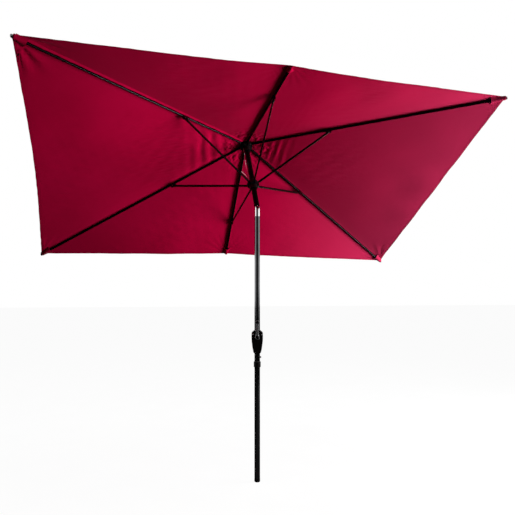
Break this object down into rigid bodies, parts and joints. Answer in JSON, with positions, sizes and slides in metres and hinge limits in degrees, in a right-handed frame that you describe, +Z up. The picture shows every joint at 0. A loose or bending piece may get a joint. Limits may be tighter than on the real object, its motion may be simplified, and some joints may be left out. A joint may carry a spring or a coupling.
{
  "type": "patio umbrella",
  "caption": "Rectangular crank-lift patio umbrella on a two-piece centre pole, open and tilted at a pivot below the canopy, with hinged ribs and stretchers.",
  "frame": {"origin": "centre of the flat end of the pole's foot, where the pole stands in its base", "axes": "+Z up the pole; +X along the canopy's long side and the tilt axis; the canopy leans towards +Y"},
  "size_m": [3.0166, 1.7249, 2.605],
  "materials": {
    "canopy_cloth": "woven polyester, matte, slightly translucent",
    "black_steel": "black powder coat, satin",
    "dark_pole": "dark glossy paint",
    "chrome": "polished",
    "bright_steel": "zinc plated",
    "black_plastic": "moulded, fine grain",
    "grey_arm": "silver-grey paint",
    "pale_cord": "braided cord"
  },
  "bodies": {
    "pole": {"foot_cap": "black_plastic", "lower_pole": "dark_pole", "pole_collar": "black_plastic", "main_pole": "dark_pole", "snap_button_spring": "bright_steel", "crank_housing_front": "black_plastic", "crank_housing_rear": "black_plastic", "housing_bolt_left": "bright_steel", "housing_bolt_right": "bright_steel", "tilt_clevis": "chrome", "tilt_pin": "bright_steel", "lift_cord_lower": "pale_cord"},
    "snap_button": {"snap_button": "bright_steel"},
    "crank": {"crank_spool": "bright_steel", "crank_arm": "grey_arm", "crank_cap": "black_plastic"},
    "crank_grip": {"crank_grip": "black_plastic"},
    "mast": {"tilt_knuckle": "black_steel", "upper_pole": "black_steel", "tilt_button_spring": "bright_steel", "rib_hub": "black_plastic", "rib_hub_ring": "bright_steel", "pulley_axle": "bright_steel", "finial": "black_plastic", "lift_cord_inner": "pale_cord", "lift_cord_outer": "pale_cord"},
    "tilt_button": {"tilt_button": "black_plastic"},
    "cord_pulley": {"cord_pulley": "black_plastic"},
    "runner": {"runner": "black_plastic", "runner_ring": "bright_steel"},
    "rib_near_left": {"rib_near_left": "black_steel", "rib_tip_near_left": "black_plastic", "rib_bracket_near_left": "black_steel", "canopy_near_left": "canopy_cloth"},
    "stretcher_near_left": {"stretcher_near_left": "black_steel"},
    "rib_near_middle": {"rib_near_middle": "black_steel", "rib_tip_near_middle": "black_plastic", "rib_bracket_near_middle": "black_steel", "canopy_near_middle": "canopy_cloth"},
    "stretcher_near_middle": {"stretcher_near_middle": "black_steel"},
    "rib_near_right": {"rib_near_right": "black_steel", "rib_tip_near_right": "black_plastic", "rib_bracket_near_right": "black_steel", "canopy_near_right": "canopy_cloth"},
    "stretcher_near_right": {"stretcher_near_right": "black_steel"},
    "rib_far_right": {"rib_far_right": "black_steel", "rib_tip_far_right": "black_plastic", "rib_bracket_far_right": "black_steel", "canopy_far_right": "canopy_cloth"},
    "stretcher_far_right": {"stretcher_far_right": "black_steel"},
    "rib_far_middle": {"rib_far_middle": "black_steel", "rib_tip_far_middle": "black_plastic", "rib_bracket_far_middle": "black_steel", "canopy_far_middle": "canopy_cloth"},
    "stretcher_far_middle": {"stretcher_far_middle": "black_steel"},
    "rib_far_left": {"rib_far_left": "black_steel", "rib_tip_far_left": "black_plastic", "rib_bracket_far_left": "black_steel", "canopy_far_left": "canopy_cloth"},
    "stretcher_far_left": {"stretcher_far_left": "black_steel"}
  },
  "joints": [
    {"name": "canopy_tilt", "type": "hinge", "parent": "pole", "child": "mast", "pos_m": [0, 0, 1.874], "axis": [1, 0, 0], "range_deg": [0, 30]},
    {"name": "runner_slide", "type": "slide", "parent": "mast", "child": "runner", "axis": [0, -0.5, -0.866], "range_m": [0, 0.12], "deforming": ["lift_cord_outer"]},
    {"name": "crank_turn", "type": "hinge", "parent": "pole", "child": "crank", "pos_m": [0, 0, 0.973], "axis": [-0.2807, -0.9598, 0], "range_deg": [0, 605.5]},
    {"name": "crank_grip_spin", "type": "hinge", "parent": "crank", "child": "crank_grip", "pos_m": [0, 0, 1.079], "axis": [-0.2807, -0.9598, 0], "continuous": true},
    {"name": "snap_button_press", "type": "slide", "parent": "pole", "child": "snap_button", "axis": [-0.9598, 0.2807, 0], "range_m": [0, 0.008], "stiffness_N_per_m": 400, "springref_m": -0.006, "deforming": ["snap_button_spring"]},
    {"name": "tilt_button_press", "type": "slide", "parent": "mast", "child": "tilt_button", "axis": [0, -0.866, 0.5], "range_m": [0, 0.005], "stiffness_N_per_m": 600, "springref_m": -0.004, "deforming": ["tilt_button_spring"]},
    {"name": "cord_pulley_spin", "type": "hinge", "parent": "mast", "child": "cord_pulley", "pos_m": [-0.0145, 0.2985, 2.39102], "axis": [0, 0.866, -0.5], "range_deg": [-688, 0]},
    {"name": "rib_near_left_fold", "type": "hinge", "parent": "mast", "child": "rib_near_left", "pos_m": [-0.02935, 0.28848, 2.41181], "axis": [0.545, -0.7261, 0.4192], "range_deg": [0, 6.15], "deforming": ["canopy_near_left"]},
    {"name": "stretcher_near_left_fold", "type": "hinge", "parent": "runner", "child": "stretcher_near_left", "pos_m": [-0.02935, 0.09248, 2.07233], "axis": [-0.545, 0.7261, -0.4192], "range_deg": [0, 6]},
    {"name": "rib_near_middle_fold", "type": "hinge", "parent": "mast", "child": "rib_near_middle", "pos_m": [0, 0.27469, 2.41978], "axis": [1, 0, 0], "range_deg": [0, 6.15], "deforming": ["canopy_near_middle"]},
    {"name": "stretcher_near_middle_fold", "type": "hinge", "parent": "runner", "child": "stretcher_near_middle", "pos_m": [0, 0.07869, 2.08029], "axis": [-1, 0, 0], "range_deg": [0, 4.9]},
    {"name": "rib_near_right_fold", "type": "hinge", "parent": "mast", "child": "rib_near_right", "pos_m": [0.02935, 0.28848, 2.41181], "axis": [0.545, 0.7261, -0.4192], "range_deg": [0, 6.15], "deforming": ["canopy_near_right"]},
    {"name": "stretcher_near_right_fold", "type": "hinge", "parent": "runner", "child": "stretcher_near_right", "pos_m": [0.02935, 0.09248, 2.07233], "axis": [-0.545, -0.7261, 0.4192], "range_deg": [0, 6]},
    {"name": "rib_far_right_fold", "type": "hinge", "parent": "mast", "child": "rib_far_right", "pos_m": [0.02935, 0.32152, 2.39274], "axis": [-0.545, 0.7261, -0.4192], "range_deg": [0, 6.15], "deforming": ["canopy_far_right"]},
    {"name": "stretcher_far_right_fold", "type": "hinge", "parent": "runner", "child": "stretcher_far_right", "pos_m": [0.02935, 0.12552, 2.05326], "axis": [0.545, -0.7261, 0.4192], "range_deg": [0, 6]},
    {"name": "rib_far_middle_fold", "type": "hinge", "parent": "mast", "child": "rib_far_middle", "pos_m": [0, 0.33531, 2.38477], "axis": [-1, 0, 0], "range_deg": [0, 6.15], "deforming": ["canopy_far_middle"]},
    {"name": "stretcher_far_middle_fold", "type": "hinge", "parent": "runner", "child": "stretcher_far_middle", "pos_m": [0, 0.13931, 2.04529], "axis": [1, 0, 0], "range_deg": [0, 4.9]},
    {"name": "rib_far_left_fold", "type": "hinge", "parent": "mast", "child": "rib_far_left", "pos_m": [-0.02935, 0.32152, 2.39274], "axis": [-0.545, -0.7261, 0.4192], "range_deg": [0, 6.15], "deforming": ["canopy_far_left"]},
    {"name": "stretcher_far_left_fold", "type": "hinge", "parent": "runner", "child": "stretcher_far_left", "pos_m": [-0.02935, 0.12552, 2.05326], "axis": [0.545, 0.7261, -0.4192], "range_deg": [0, 6]}
  ],
  "couplings": [
    {"joint": "crank_turn", "follows": "runner_slide", "rad_per_m": 88},
    {"joint": "cord_pulley_spin", "follows": "runner_slide", "rad_per_m": -100},
    {"joint": "rib_near_left_fold", "follows": "runner_slide", "rad_per_m": 0.89},
    {"joint": "stretcher_near_left_fold", "follows": "runner_slide", "rad_per_m": 0.869},
    {"joint": "rib_near_middle_fold", "follows": "runner_slide", "rad_per_m": 0.89},
    {"joint": "stretcher_near_middle_fold", "follows": "runner_slide", "rad_per_m": 0.698},
    {"joint": "rib_near_right_fold", "follows": "runner_slide", "rad_per_m": 0.89},
    {"joint": "stretcher_near_right_fold", "follows": "runner_slide", "rad_per_m": 0.869},
    {"joint": "rib_far_right_fold", "follows": "runner_slide", "rad_per_m": 0.89},
    {"joint": "stretcher_far_right_fold", "follows": "runner_slide", "rad_per_m": 0.869},
    {"joint": "rib_far_middle_fold", "follows": "runner_slide", "rad_per_m": 0.89},
    {"joint": "stretcher_far_middle_fold", "follows": "runner_slide", "rad_per_m": 0.698},
    {"joint": "rib_far_left_fold", "follows": "runner_slide", "rad_per_m": 0.89},
    {"joint": "stretcher_far_left_fold", "follows": "runner_slide", "rad_per_m": 0.869}
  ]
}
